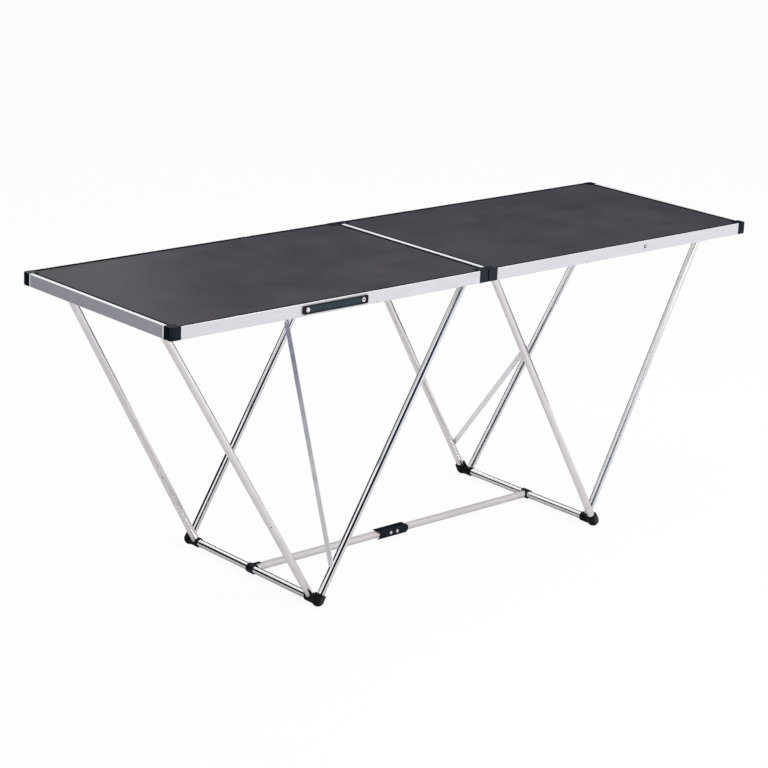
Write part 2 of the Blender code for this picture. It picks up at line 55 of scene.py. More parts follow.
# Boards: two thin fibre boards with a dark grey laminate face, cut to drop between the rails.
# The face has a slight mottle and a fine pebble, and shines a little at low angles.
# Underneath, the board only has a thin pale primer.
LAMINATE_DARK = (0.046, 0.043, 0.054, 1)
LAMINATE_LIGHT = (0.070, 0.066, 0.078, 1)
LAMINATE_PLUM = (0.064, 0.057, 0.067, 1)
LAMINATE_SLATE = (0.047, 0.049, 0.062, 1)
LAMINATE_SPECK = (0.024, 0.023, 0.029, 1)
LAMINATE_MOTTLE = 7.0
LAMINATE_PEBBLE = 650.0
BLUSH_SHARE = 0.45
SPECK_CELLS = 24.0
SPECK_EDGE = (0.045, 0.080)
PRIMER_DARK = (0.76, 0.73, 0.70, 1)
PRIMER_LIGHT = (0.86, 0.84, 0.81, 1)
PRIMER_BELOW = (0.8066, 0.8070)


def new_finish(name):
    """A node material, its nodes and links, its shader and the place on the piece."""
    finish = bpy.data.materials.new(name)
    finish.use_nodes = True
    nodes = finish.node_tree.nodes
    links = finish.node_tree.links
    shader = nodes["Principled BSDF"]
    place = nodes.new("ShaderNodeTexCoord").outputs["Object"]
    return finish, nodes, links, shader, place


def cloud(nodes, links, place, size, detail=4.0, stretch=(1, 1, 1)):
    """Soft noise over the piece, stretched along its axes."""
    mapping = nodes.new("ShaderNodeMapping")
    mapping.inputs["Scale"].default_value = stretch
    links.new(place, mapping.inputs["Vector"])
    noise = nodes.new("ShaderNodeTexNoise")
    noise.inputs["Scale"].default_value = size
    noise.inputs["Detail"].default_value = detail
    links.new(mapping.outputs["Vector"], noise.inputs["Vector"])
    return noise.outputs["Fac"]


def tint(nodes, links, amount, dark, light, low=0.3, high=0.7):
    """Colours a noise between two shades."""
    ramp = nodes.new("ShaderNodeValToRGB")
    ramp.color_ramp.elements[0].position = low
    ramp.color_ramp.elements[0].color = dark
    ramp.color_ramp.elements[1].position = high
    ramp.color_ramp.elements[1].color = light
    links.new(amount, ramp.inputs["Fac"])
    return ramp.outputs["Color"]


def between(nodes, links, amount, low, high):
    """Turns a noise into a value between two limits."""
    spread = nodes.new("ShaderNodeMapRange")
    spread.inputs["To Min"].default_value = low
    spread.inputs["To Max"].default_value = high
    links.new(amount, spread.inputs["Value"])
    return spread.outputs["Result"]


def pebble(nodes, links, shader, amount, strength, depth):
    """Raises the surface with a noise."""
    bump = nodes.new("ShaderNodeBump")
    bump.inputs["Strength"].default_value = strength
    bump.inputs["Distance"].default_value = depth
    links.new(amount, bump.inputs["Height"])
    links.new(bump.outputs["Normal"], shader.inputs["Normal"])


def dress(node, finish, edge):
    """Gives a frame piece its finish, rounds its edges and shades it smooth."""
    piece = frame["nodes"][node]
    piece.data.materials.clear()
    piece.data.materials.append(finish)
    for face in piece.data.polygons:
        face.use_smooth = True
        face.material_index = 0
    weld = piece.modifiers.new("weld", "WELD")
    weld.merge_threshold = 0.00001
    bevel = piece.modifiers.new("soft_edge", "BEVEL")
    bevel.width = edge
    bevel.segments = 2
    bevel.limit_method = "ANGLE"
    bevel.angle_limit = math.radians(40)
    bevel.use_clamp_overlap = True
    normal = piece.modifiers.new("even_shade", "WEIGHTED_NORMAL")
    normal.keep_sharp = True
    return piece


laminate, nodes, links, shader, place = new_finish("laminate")
mottle = cloud(nodes, links, place, LAMINATE_MOTTLE, 8.0)
ground = tint(nodes, links, mottle, LAMINATE_DARK, LAMINATE_LIGHT, 0.35, 0.65)
blush = tint(nodes, links, cloud(nodes, links, place, 19.0, 6.0), LAMINATE_PLUM, LAMINATE_SLATE, 0.42, 0.58)
mixed = nodes.new("ShaderNodeMix")
mixed.data_type = "RGBA"
mixed.inputs["Factor"].default_value = BLUSH_SHARE
links.new(ground, mixed.inputs["A"])
links.new(blush, mixed.inputs["B"])
cells = nodes.new("ShaderNodeTexVoronoi")
cells.inputs["Scale"].default_value = SPECK_CELLS
links.new(place, cells.inputs["Vector"])
speck = nodes.new("ShaderNodeMapRange")
speck.inputs["From Min"].default_value = SPECK_EDGE[0]
speck.inputs["From Max"].default_value = SPECK_EDGE[1]
links.new(cells.outputs["Distance"], speck.inputs["Value"])
dusted = nodes.new("ShaderNodeMix")
dusted.data_type = "RGBA"
dusted.inputs["A"].default_value = LAMINATE_SPECK
links.new(speck.outputs["Result"], dusted.inputs["Factor"])
links.new(mixed.outputs["Result"], dusted.inputs["B"])
primer = tint(nodes, links, cloud(nodes, links, place, 90.0, 6.0), PRIMER_DARK, PRIMER_LIGHT)
depth = nodes.new("ShaderNodeSeparateXYZ")
links.new(place, depth.inputs["Vector"])
face_up = nodes.new("ShaderNodeMapRange")
face_up.inputs["From Min"].default_value = PRIMER_BELOW[0]
face_up.inputs["From Max"].default_value = PRIMER_BELOW[1]
links.new(depth.outputs["Z"], face_up.inputs["Value"])
two_faced = nodes.new("ShaderNodeMix")
two_faced.data_type = "RGBA"
links.new(face_up.outputs["Result"], two_faced.inputs["Factor"])
links.new(primer, two_faced.inputs["A"])
links.new(dusted.outputs["Result"], two_faced.inputs["B"])
links.new(two_faced.outputs["Result"], shader.inputs["Base Color"])
links.new(between(nodes, links, mottle, 0.32, 0.46), shader.inputs["Roughness"])
shader.inputs["Specular IOR Level"].default_value = 0.07
pebble(nodes, links, shader, cloud(nodes, links, place, LAMINATE_PEBBLE, 2.0), 0.25, 0.0002)
for side in ("left", "right"):
    dress(f"{side}_board", laminate, 0.0003)

# Rails: satin alloy extrusions of C section that frame each board, pushed into the corner blocks.
# They are drawn along their length, so the fine lines run that way.
ALLOY_DARK = (0.64, 0.64, 0.67, 1)
ALLOY_LIGHT = (0.72, 0.72, 0.75, 1)
# The short rails are painted a little darker and bluer than the long rails, as painted shade on end faces
# turned away from the lamps.
SHORT_ALLOY_DARK = (0.62, 0.61, 0.68, 1)
SHORT_ALLOY_LIGHT = (0.70, 0.69, 0.76, 1)
# Painted highlight: the lip and the ends of the short rails are painted near white and barely metallic.
PAINTED_HIGHLIGHT_ALLOY = (0.93, 0.93, 0.94, 1)
ALLOY_METAL = 0.5
PAINTED_HIGHLIGHT_METAL = 0.05
LIP_FROM = (0.8078, 0.8084)
END_HIGHLIGHT_FROM = (0.2680, 0.2690)


def alloy_finish(name, stretch, dark, light):
    """Satin drawn alloy with lines along its length, with a painted highlight on the lip and the ends."""
    finish, nodes, links, shader, place = new_finish(name)
    lines = cloud(nodes, links, place, 18.0, 5.0, stretch)
    drawn = tint(nodes, links, lines, dark, light)
    split = nodes.new("ShaderNodeSeparateXYZ")
    links.new(place, split.inputs["Vector"])
    across = nodes.new("ShaderNodeMath")
    across.operation = "ABSOLUTE"
    links.new(split.outputs["Y"], across.inputs[0])
    highlight_masks = []
    # Masks for the painted highlight along the lip and at the ends by the corner blocks.
    for distance, (low, high) in ((split.outputs["Z"], LIP_FROM), (across.outputs["Value"], END_HIGHLIGHT_FROM)):
        edge = nodes.new("ShaderNodeMapRange")
        edge.inputs["From Min"].default_value = low
        edge.inputs["From Max"].default_value = high
        links.new(distance, edge.inputs["Value"])
        highlight_masks.append(edge.outputs["Result"])
    brightened = nodes.new("ShaderNodeMath")
    brightened.operation = "MAXIMUM"
    links.new(highlight_masks[0], brightened.inputs[0])
    links.new(highlight_masks[1], brightened.inputs[1])
    mixed = nodes.new("ShaderNodeMix")
    mixed.data_type = "RGBA"
    mixed.inputs["B"].default_value = PAINTED_HIGHLIGHT_ALLOY
    links.new(brightened.outputs["Value"], mixed.inputs["Factor"])
    links.new(drawn, mixed.inputs["A"])
    links.new(mixed.outputs["Result"], shader.inputs["Base Color"])
    metal = between(nodes, links, brightened.outputs["Value"], ALLOY_METAL, PAINTED_HIGHLIGHT_METAL)
    links.new(metal, shader.inputs["Metallic"])
    links.new(between(nodes, links, lines, 0.30, 0.42), shader.inputs["Roughness"])
    pebble(nodes, links, shader, lines, 0.08, 0.0001)
    return finish


long_rail_alloy, nodes, links, shader, place = new_finish("long_rail_alloy")
lines = cloud(nodes, links, place, 18.0, 5.0, (0.6, 30, 30))
links.new(tint(nodes, links, lines, ALLOY_DARK, ALLOY_LIGHT), shader.inputs["Base Color"])
links.new(between(nodes, links, lines, 0.30, 0.42), shader.inputs["Roughness"])
shader.inputs["Metallic"].default_value = ALLOY_METAL
pebble(nodes, links, shader, lines, 0.08, 0.0001)
short_rail_alloy = alloy_finish("short_rail_alloy", (30, 0.6, 30), SHORT_ALLOY_DARK, SHORT_ALLOY_LIGHT)
for side in ("left", "right"):
    for where in ("front", "back"):
        dress(f"{side}_{where}_rail", long_rail_alloy, 0.0003)
    for where in ("end", "hinge"):
        dress(f"{side}_{where}_rail", short_rail_alloy, 0.0003)

# Shadow strips: black strips along the joint between a board and its rails, painted shadow for the gap
# there.
# They lie flat, with a rounded inner edge, and stop at the corner blocks.
SHADOW_STRIP_WIDTH = 0.0080
SHADOW_STRIP_RISE = 0.0013
BOARD_FACE = 0.80735
LONG_SHADOW_STRIP_Y = 0.2983
SHORT_SHADOW_STRIP_Y = 0.2724
END_SHADOW_STRIP_X = 0.9898
PANEL_SHADOW_STRIPS = [("left", -0.0310, -0.9705, -0.0024), ("right", 0.0310, 0.9705, 0.0107)]
SHADE_AND_PIN_DARK = (0.004, 0.004, 0.006, 1)
SHADE_AND_PIN_LIGHT = (0.009, 0.009, 0.012, 1)

# This black is the painted shadow on the strips, the dark rim of painted reflection on the catch rings, and
# the colour of the leg pins.
shade_and_pin_black, nodes, links, shader, place = new_finish("shade_and_pin_black")
wear = cloud(nodes, links, place, 60.0, 5.0)
links.new(tint(nodes, links, wear, SHADE_AND_PIN_DARK, SHADE_AND_PIN_LIGHT), shader.inputs["Base Color"])
links.new(between(nodes, links, wear, 0.45, 0.65), shader.inputs["Roughness"])
shader.inputs["Specular IOR Level"].default_value = 0.0
pebble(nodes, links, shader, cloud(nodes, links, place, 900.0, 2.0), 0.15, 0.0001)


def shadow_strip(name, low, high, body):
    """A flat black strip of painted shadow between two corners in plan, with its upper edges rounded."""
    bm = bmesh.new()
    bmesh.ops.create_cube(bm, size=1)
    bmesh.ops.scale(bm, verts=bm.verts, vec=(high[0] - low[0], high[1] - low[1], SHADOW_STRIP_RISE))
    middle = ((low[0] + high[0]) / 2, (low[1] + high[1]) / 2, BOARD_FACE + SHADOW_STRIP_RISE / 2)
    bmesh.ops.translate(bm, verts=bm.verts, vec=middle)
    upper = [e for e in bm.edges if all(v.co.z > BOARD_FACE + SHADOW_STRIP_RISE / 2 for v in e.verts)]
    bmesh.ops.bevel(
        bm, geom=upper, offset=SHADOW_STRIP_RISE * 0.6, affect="EDGES", segments=2, profile=0.5, material=-1
    )
    mesh = bpy.data.meshes.new(name)
    bm.to_mesh(mesh)
    bm.free()
    mesh.materials.append(shade_and_pin_black)
    piece = bpy.data.objects.new(name, mesh)
    bpy.context.scene.collection.objects.link(piece)
    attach(piece, body)


for side, near, far, hinge_edge in PANEL_SHADOW_STRIPS:
    out = math.copysign(1, far)
    x_low, x_high = sorted((near, far))
    shadow_strip(f"{side}_front_trim", (x_low, -LONG_SHADOW_STRIP_Y), (x_high, -LONG_SHADOW_STRIP_Y + SHADOW_STRIP_WIDTH), f"{side}_panel")
    shadow_strip(f"{side}_back_trim", (x_low, LONG_SHADOW_STRIP_Y - SHADOW_STRIP_WIDTH), (x_high, LONG_SHADOW_STRIP_Y), f"{side}_panel")
    for where, x in (("end", END_SHADOW_STRIP_X * out), ("hinge", hinge_edge)):
        step = -out * SHADOW_STRIP_WIDTH if where == "end" else out * SHADOW_STRIP_WIDTH
        x_low, x_high = sorted((x, x + step))
        shadow_strip(f"{side}_{where}_trim", (x_low, -SHORT_SHADOW_STRIP_Y), (x_high, SHORT_SHADOW_STRIP_Y), f"{side}_panel")

# Rail rivets: small pressed heads on the front and back faces of the long rails.
# They hold the fittings inside the rail, and their metal is mottled darker and lighter.
RIVET_HEAD = [(0, 0.0007), (0.0008, 0.0006), (0.0014, 0.0003)]
RIVET_HEAD += [(0.0017, 0.0), (0.0017, -0.0004), (0, -0.0004)]
# The catch is a black ring round a bright dome: the ring is painted reflection of the dome's dark sides,
# and the dome is a painted highlight.
CATCH_SHADE_RING = [(0.0026, 0.0004), (0.0030, 0.0010), (0.0040, 0.0011), (0.0048, 0.0004), (0.0048, -0.0004)]
CATCH_SHADE_RING += [(0.0026, -0.0004), (0.0026, 0.0004)]
CATCH_HIGHLIGHT_DOME = [(0, 0.0012), (0.0012, 0.0010), (0.0022, 0.0005)]
CATCH_HIGHLIGHT_DOME += [(0.0026, 0.0), (0.0026, -0.0004), (0, -0.0004)]
RIVET_DARK = (0.16, 0.16, 0.18, 1)
RIVET_LIGHT = (0.30, 0.30, 0.33, 1)
RAIL_FACE_Y = 0.3
RIVET_Z = 0.7802
CATCH_X = 0.586
CATCH_Z = 0.7930
RAIL_RIVETS = [(-0.375, RIVET_Z, RIVET_HEAD), (0.360, RIVET_Z, RIVET_HEAD)]
RAIL_RIVETS += [(CATCH_X, CATCH_Z, CATCH_SHADE_RING)]


def turned(name, profile, centre, facing, finish, body, steps=20):
    """A round piece spun from half its outline, given as (radius, height) pairs, and set on a face."""
    bm = bmesh.new()
    points = [bm.verts.new((radius, 0, height)) for radius, height in profile]
    edges = [bm.edges.new(pair) for pair in zip(points, points[1:])]
    bmesh.ops.spin(
        bm, geom=points + edges, cent=(0, 0, 0), axis=(0, 0, 1), angle=math.tau, steps=steps, use_merge=True
    )
    bmesh.ops.remove_doubles(bm, verts=bm.verts, dist=0.000001)
    bmesh.ops.recalc_face_normals(bm, faces=bm.faces)
    turn = Vector(facing).to_track_quat("Z", "Y").to_matrix().to_4x4()
    bmesh.ops.transform(bm, matrix=Matrix.Translation(Vector(centre)) @ turn, verts=bm.verts)
    mesh = bpy.data.meshes.new(name)
    bm.to_mesh(mesh)
    bm.free()
    for face in mesh.polygons:
        face.use_smooth = True
    mesh.materials.append(finish)
    piece = bpy.data.objects.new(name, mesh)
    bpy.context.scene.collection.objects.link(piece)
    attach(piece, body)


pressed, nodes, links, shader, place = new_finish("pressed_rivet")
dirt = cloud(nodes, links, place, 600.0, 4.0)
links.new(tint(nodes, links, dirt, RIVET_DARK, RIVET_LIGHT), shader.inputs["Base Color"])
links.new(between(nodes, links, dirt, 0.35, 0.55), shader.inputs["Roughness"])
shader.inputs["Metallic"].default_value = 0.9
pebble(nodes, links, shader, dirt, 0.1, 0.0001)
for x, z, head in RAIL_RIVETS:
    body = "left_panel" if x < 0 else "right_panel"
    for where, y_sign in (("front", -1), ("back", 1)):
        name = f"{where}_rail_rivet_{round(1000 * x + 1000)}"
        finish = shade_and_pin_black if head is CATCH_SHADE_RING else pressed
        turned(name, head, (x, RAIL_FACE_Y * y_sign, z), (0, y_sign, 0), finish, body)

# Corner blocks: moulded black plastic blocks pushed into the rail ends at every corner.
# Their faces have the faint grain of the mould and their outer edges are rounded.
# The ones at the hinge are a paler black, with painted shadow along the gap between the two blocks.
MOULDED_DARK = (0.003, 0.005, 0.010, 1)
MOULDED_LIGHT = (0.006, 0.010, 0.018, 1)
HINGE_BLACK_DARK = (0.009, 0.012, 0.018, 1)
HINGE_BLACK_LIGHT = (0.016, 0.021, 0.030, 1)
GAP_SHADOW = (0.001, 0.001, 0.001, 1)
GAP_SHADOW_EDGE = (0.0024, 0.0034)


def away_from_middle(nodes, links, place, direction, limits):
    """0 near the middle of the table along one axis and 1 beyond it, on both sides."""
    split = nodes.new("ShaderNodeSeparateXYZ")
    links.new(place, split.inputs["Vector"])
    distance = nodes.new("ShaderNodeMath")
    distance.operation = "ABSOLUTE"
    links.new(split.outputs[direction], distance.inputs[0])
    far = nodes.new("ShaderNodeMapRange")
    far.inputs["From Min"].default_value = limits[0]
    far.inputs["From Max"].default_value = limits[1]
    links.new(distance.outputs["Value"], far.inputs["Value"])
    return far.outputs["Result"]


moulded, nodes, links, shader, place = new_finish("moulded_black")
grain = cloud(nodes, links, place, 90.0, 5.0)
links.new(tint(nodes, links, grain, MOULDED_DARK, MOULDED_LIGHT), shader.inputs["Base Color"])
links.new(between(nodes, links, grain, 0.24, 0.36), shader.inputs["Roughness"])
shader.inputs["Specular IOR Level"].default_value = 0.12
pebble(nodes, links, shader, cloud(nodes, links, place, 1400.0, 2.0), 0.2, 0.0001)
hinge_black_gap_shadow, nodes, links, shader, place = new_finish("hinge_black_gap_shadow")
grain = cloud(nodes, links, place, 90.0, 5.0)
brightened = tint(nodes, links, grain, HINGE_BLACK_DARK, HINGE_BLACK_LIGHT)
# Painted shadow: a near black band along the gap where the two hinge blocks meet.
off_joint = away_from_middle(nodes, links, place, "X", GAP_SHADOW_EDGE)
gap_shaded = nodes.new("ShaderNodeMix")
gap_shaded.data_type = "RGBA"
gap_shaded.inputs["A"].default_value = GAP_SHADOW
links.new(off_joint, gap_shaded.inputs["Factor"])
links.new(brightened, gap_shaded.inputs["B"])
links.new(gap_shaded.outputs["Result"], shader.inputs["Base Color"])
links.new(between(nodes, links, grain, 0.26, 0.40), shader.inputs["Roughness"])
shader.inputs["Specular IOR Level"].default_value = 0.15
pebble(nodes, links, shader, cloud(nodes, links, place, 1400.0, 2.0), 0.2, 0.0001)
for side in ("left", "right"):
    for where in ("front", "back"):
        dress(f"{side}_{where}_end_block", moulded, 0.0012)
        dress(f"{side}_{where}_hinge_block", hinge_black_gap_shadow, 0.0020)

# Centre hinges: two plated steel butt hinges under the rails, with the pin in the left leaf.
# Screws hold each leaf up into the rail.
PLATE_DARK = (0.66, 0.67, 0.70, 1)
PLATE_LIGHT = (0.78, 0.79, 0.81, 1)
HINGE_Y = 0.12
SCREW_X = 0.0068
SCREW_Z = 0.7752
SCREW_SHIFT = 0.021

plated, nodes, links, shader, place = new_finish("plated_steel")
spots = cloud(nodes, links, place, 140.0, 5.0)
links.new(tint(nodes, links, spots, PLATE_DARK, PLATE_LIGHT), shader.inputs["Base Color"])
links.new(between(nodes, links, spots, 0.25, 0.42), shader.inputs["Roughness"])
shader.inputs["Metallic"].default_value = 1.0
pebble(nodes, links, shader, spots, 0.05, 0.0001)
for where in ("front", "back"):
    for side in ("left", "right"):
        dress(f"hinge_{where}_{side}_leaf", plated, 0.0002)

SCREW_HEAD = [(0, 0.0005), (0.0007, 0.0006), (0.0009, 0.0012), (0.0015, 0.0011), (0.0021, 0.0006)]
SCREW_HEAD += [(0.0022, -0.0003), (0, -0.0003)]
for where, y_middle in (("front", -HINGE_Y), ("back", HINGE_Y)):
    for side, x in (("left", -SCREW_X), ("right", SCREW_X)):
        for end, shift in (("near", -SCREW_SHIFT), ("far", SCREW_SHIFT)):
            name = f"hinge_screw_{where}_{side}_{end}"
            centre = (x, y_middle + shift, SCREW_Z)
            turned(name, SCREW_HEAD, centre, (0, 0, -1), plated, f"{side}_panel")

# Carrying handle: a soft dark strap with a raised black rim, on the left front rail.
# A rivet at each end goes through the rail, and the domes in the catch rings are as bright as these.
STRAP_DARK = (0.012, 0.028, 0.037, 1)
STRAP_LIGHT = (0.024, 0.048, 0.058, 1)
STRAP_RIM = (0.005, 0.006, 0.008, 1)
BRIGHT_DARK = (0.78, 0.78, 0.79, 1)
BRIGHT_LIGHT = (0.92, 0.92, 0.93, 1)
HANDLE_X = -0.511
HANDLE_Z = 0.793
HANDLE_FACE_Y = -0.3049
STRAP_HALF_X = 0.080
STRAP_HALF_Z = 0.0068
LEFT_RIVET_X = -0.5985
RIGHT_RIVET_X = -0.4235
WASHER_Y = -0.3031

strap, nodes, links, shader, place = new_finish("handle_strap")
weave = cloud(nodes, links, place, 220.0, 3.0)
slate = tint(nodes, links, weave, STRAP_DARK, STRAP_LIGHT)
spread = nodes.new("ShaderNodeMapping")
spread.inputs["Location"].default_value = (-HANDLE_X / STRAP_HALF_X, 0.0, -HANDLE_Z / STRAP_HALF_Z)
spread.inputs["Scale"].default_value = (1 / STRAP_HALF_X, 0.0, 1 / STRAP_HALF_Z)
links.new(place, spread.inputs["Vector"])
split = nodes.new("ShaderNodeSeparateXYZ")
links.new(spread.outputs["Vector"], split.inputs["Vector"])
sides = []
for direction in ("X", "Z"):
    distance = nodes.new("ShaderNodeMath")
    distance.operation = "ABSOLUTE"
    links.new(split.outputs[direction], distance.inputs[0])
    sides.append(distance.outputs["Value"])
rim = nodes.new("ShaderNodeMath")
rim.operation = "MAXIMUM"
links.new(sides[0], rim.inputs[0])
links.new(sides[1], rim.inputs[1])
edge_of_rim = nodes.new("ShaderNodeMapRange")
edge_of_rim.inputs["From Min"].default_value = 0.97
edge_of_rim.inputs["From Max"].default_value = 1.03
links.new(rim.outputs["Value"], edge_of_rim.inputs["Value"])
rim_mix = nodes.new("ShaderNodeMix")
rim_mix.data_type = "RGBA"
links.new(edge_of_rim.outputs["Result"], rim_mix.inputs["Factor"])
links.new(slate, rim_mix.inputs["A"])
rim_mix.inputs["B"].default_value = STRAP_RIM
links.new(rim_mix.outputs["Result"], shader.inputs["Base Color"])
links.new(between(nodes, links, weave, 0.40, 0.60), shader.inputs["Roughness"])
shader.inputs["Specular IOR Level"].default_value = 0.2
pebble(nodes, links, shader, weave, 0.2, 0.0002)
dress("carry_handle", strap, 0.0006)
bright, nodes, links, shader, place = new_finish("bright_rivet")
polish = cloud(nodes, links, place, 300.0, 3.0)
links.new(tint(nodes, links, polish, BRIGHT_DARK, BRIGHT_LIGHT), shader.inputs["Base Color"])
links.new(between(nodes, links, polish, 0.18, 0.30), shader.inputs["Roughness"])
shader.inputs["Metallic"].default_value = 0.9
pebble(nodes, links, shader, polish, 0.05, 0.0001)
for where in ("left", "right"):
    dress(f"handle_rivet_{where}", bright, 0.0004)
# Catch domes: the bright middle of each catch, a painted highlight inside the ring of painted reflection.
for where, y_sign in (("front", -1), ("back", 1)):
    name = f"{where}_catch_highlight_dome"
    centre = (CATCH_X, RAIL_FACE_Y * y_sign, CATCH_Z)
    turned(name, CATCH_HIGHLIGHT_DOME, centre, (0, y_sign, 0), bright, "right_panel")
EYE = [(0, 0.00025), (0.0018, 0.00022), (0.0022, 0.00005), (0.0022, -0.0003), (0, -0.0003)]
eye_centre = (RIGHT_RIVET_X, HANDLE_FACE_Y, HANDLE_Z)
turned("handle_rivet_eye", EYE, eye_centre, (0, -1, 0), moulded, "left_panel", 16)
WASHER = [(0.0047, 0.0002), (0.0047, 0.0010), (0.0052, 0.0012)]
WASHER += [(0.0058, 0.0009), (0.0060, 0.0002), (0.0047, 0.0002)]
for where, x in (("left", LEFT_RIVET_X), ("right", RIGHT_RIVET_X)):
    centre = (x, WASHER_Y, HANDLE_Z)
    turned(f"handle_washer_{where}", WASHER, centre, (0, -1, 0), bright, "left_panel", 24)

# Pivot brackets and leg stops: black moulded blocks under the boards.
# A bracket holds the top of an outer leg on a stub, and a stop lies over the top of an inner leg.
for side in ("left", "right"):
    for where in ("front", "back"):
        dress(f"{side}_{where}_pivot_bracket", moulded, 0.0006)
        dress(f"{side}_{where}_leg_stop", moulded, 0.0006)

# Legs and base rails: chromed steel tube of 20 mm, pushed into the black feet and knuckles.
# The plating is bright with faint rubbing, and duller on the inner legs.
CHROME_DARK = (0.82, 0.81, 0.82, 1)
CHROME_LIGHT = (0.90, 0.89, 0.90, 1)


def chrome_finish(name, smoothest, roughest):
    """Plated tube, with its roughness between two limits."""
    finish, nodes, links, shader, place = new_finish(name)
    rub = cloud(nodes, links, place, 14.0, 4.0)
    links.new(tint(nodes, links, rub, CHROME_DARK, CHROME_LIGHT), shader.inputs["Base Color"])
    links.new(between(nodes, links, rub, smoothest, roughest), shader.inputs["Roughness"])
    pebble(nodes, links, shader, cloud(nodes, links, place, 500.0, 2.0), 0.02, 0.0001)
    shader.inputs["Metallic"].default_value = 1.0
    return finish


chrome = chrome_finish("chromed_tube", 0.04, 0.09)
dull_chrome = chrome_finish("dull_chrome_tube", 0.13, 0.19)
for side in ("left", "right"):
    for where in ("front", "back"):
        dress(f"{side}_{where}_outer_leg", chrome, 0.0003)
        dress(f"{side}_{where}_inner_leg", dull_chrome, 0.0003)
    dress(f"{side}_base_rail", chrome, 0.0003)

# Leg pins: dark pins, each set through an inner leg.
# They sit in the lower third of the leg, and only their two rounded ends show.
PIN_RADIUS = 0.0017
PIN_RISE = 0.0006
PIN_ALONG = 0.7185
INNER_TOP = Vector((-0.949, -0.187, 0.779))
INNER_FOOT = Vector((-0.499, -0.2365, 0.0155))
PIN_FACING = Vector((-0.52, -0.83, -0.22))
TUBE_RADIUS = 0.010

pin_end = TUBE_RADIUS + PIN_RISE
THROUGH_PIN = [(0, pin_end), (PIN_RADIUS * 0.6, pin_end - PIN_RISE * 0.2), (PIN_RADIUS, pin_end - PIN_RISE)]
THROUGH_PIN += [(radius, -height) for radius, height in reversed(THROUGH_PIN)]
for side, x_sign in (("left", 1), ("right", -1)):
    for where, y_sign in (("front", 1), ("back", -1)):
        top = Matrix.Diagonal((x_sign, y_sign, 1)) @ INNER_TOP
        foot = Matrix.Diagonal((x_sign, y_sign, 1)) @ INNER_FOOT
        along = (foot - top).normalized()
        facing = Matrix.Diagonal((x_sign, 1, 1)) @ PIN_FACING
        across = (facing - along * facing.dot(along)).normalized()
        centre = top.lerp(foot, PIN_ALONG)
        name = f"{side}_{where}_leg_pin"
        turned(name, THROUGH_PIN, centre, across, shade_and_pin_black, f"{side}_inner", 12)

# Feet and knuckles: black mouldings at the ends of the base rails.
# A foot holds an outer leg and stands on the floor, and a knuckle turns on the rail with an inner leg.
FOOT_DARK = (0.002, 0.002, 0.003, 1)
FOOT_LIGHT = (0.010, 0.010, 0.011, 1)
# The end faces of the feet and knuckles are painted paler than the rest.
FOOT_END_PALE = (0.027, 0.027, 0.029, 1)
FOOT_END_FROM = (0.2776, 0.2790)

foot_rubber, nodes, links, shader, place = new_finish("foot_rubber")
scuff = cloud(nodes, links, place, 120.0, 6.0)
scuffed = tint(nodes, links, scuff, FOOT_DARK, FOOT_LIGHT)
end_paled = nodes.new("ShaderNodeMix")
end_paled.data_type = "RGBA"
end_paled.inputs["B"].default_value = FOOT_END_PALE
links.new(away_from_middle(nodes, links, place, "Y", FOOT_END_FROM), end_paled.inputs["Factor"])
links.new(scuffed, end_paled.inputs["A"])
links.new(end_paled.outputs["Result"], shader.inputs["Base Color"])
links.new(between(nodes, links, scuff, 0.30, 0.44), shader.inputs["Roughness"])
shader.inputs["Specular IOR Level"].default_value = 0.10
pebble(nodes, links, shader, cloud(nodes, links, place, 1200.0, 2.0), 0.2, 0.0001)
for side in ("left", "right"):
    for where in ("front", "back"):
        dress(f"{side}_{where}_foot", foot_rubber, 0.0008)
        dress(f"{side}_{where}_knuckle", foot_rubber, 0.0008)

# Braces: flat plated strips, each from low on one outer leg to high on the other.
# A round headed rivet holds each end to its leg.
BRACE_RIVET = [(0, 0.0021), (0.0016, 0.0019), (0.0030, 0.0012)]
BRACE_RIVET += [(0.0038, 0.0002), (0.0038, -0.0003), (0, -0.0003)]
BRACE_ENDS = [("low", -0.4617, -0.264, 0.1034), ("high", -0.1904, 0.264, 0.5645)]
BRACE_FACING = Vector((-0.8619, 0, 0.5070))
# Painted reflection: the braces fade from blue at the top to pale at the bottom, for what the strips
# reflect. The right brace is painted paler than the left, and a random tone runs over both.
REFLECTED_BLUE = (0.36, 0.36, 0.48, 1)
ZINC_PALE = (0.86, 0.86, 0.87, 1)
ZINC_FADE = -1.6
ZINC_FADE_START = 0.80
SIDE_CHANGE = 0.1
RIGHT_PALER = 0.3

zinc, nodes, links, shader, place = new_finish("zinc_strip")
flow = cloud(nodes, links, place, 30.0, 5.0)
split = nodes.new("ShaderNodeSeparateXYZ")
links.new(place, split.inputs["Vector"])
# Painted reflection: blue high on the strip, pale low down.
height_fade = nodes.new("ShaderNodeMath")
height_fade.operation = "MULTIPLY_ADD"
height_fade.inputs[1].default_value = ZINC_FADE
height_fade.inputs[2].default_value = ZINC_FADE_START
links.new(split.outputs["Z"], height_fade.inputs[0])
paler = nodes.new("ShaderNodeMapRange")
paler.inputs["From Min"].default_value = -SIDE_CHANGE
paler.inputs["From Max"].default_value = SIDE_CHANGE
paler.inputs["To Max"].default_value = RIGHT_PALER
links.new(split.outputs["X"], paler.inputs["Value"])
fade_and_side = nodes.new("ShaderNodeMath")
fade_and_side.operation = "ADD"
links.new(height_fade.outputs["Value"], fade_and_side.inputs[0])
links.new(paler.outputs["Result"], fade_and_side.inputs[1])
reflection_and_tone = nodes.new("ShaderNodeMath")
reflection_and_tone.operation = "ADD"
links.new(fade_and_side.outputs["Value"], reflection_and_tone.inputs[0])
links.new(between(nodes, links, flow, -0.2, 0.2), reflection_and_tone.inputs[1])
reflection_and_tone_colour = tint(nodes, links, reflection_and_tone.outputs["Value"], REFLECTED_BLUE, ZINC_PALE, 0.0, 0.4)
